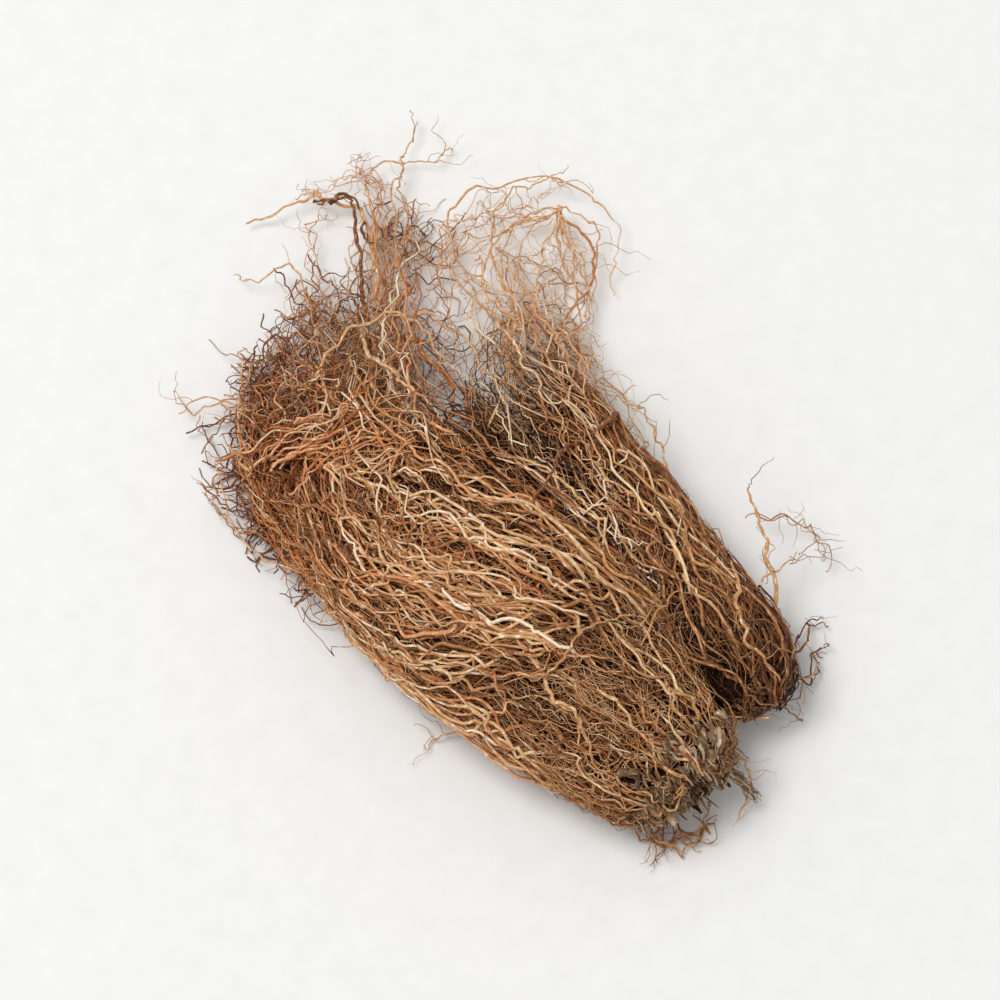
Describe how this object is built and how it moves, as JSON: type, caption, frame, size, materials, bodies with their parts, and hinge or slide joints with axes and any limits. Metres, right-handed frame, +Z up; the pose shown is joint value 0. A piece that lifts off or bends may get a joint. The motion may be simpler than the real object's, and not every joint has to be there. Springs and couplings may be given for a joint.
{
  "type": "vetiver root",
  "caption": "Dried, matted vetiver root clump lying on its side, with a pale cut crown at one end and loose wiry tips at the other.",
  "frame": {"origin": "on the surface that the clump lies on, under the middle of its outline", "axes": "+Z up, +Y along the clump from the cut crown to the root tips, +X towards the narrow lobe"},
  "size_m": [0.1943, 0.3075, 0.0572],
  "materials": {
    "root_skin": "dry wiry root skin, golden tan to red brown, darker between the roots, matt with a slight gloss on the thick roots",
    "cut_crown": "pale straw-grey cut culm bases and chaff, fibrous and matt"
  },
  "bodies": {
    "root": {"root_mass": "root_skin", "crown": "cut_crown"}
  },
  "joints": []
}
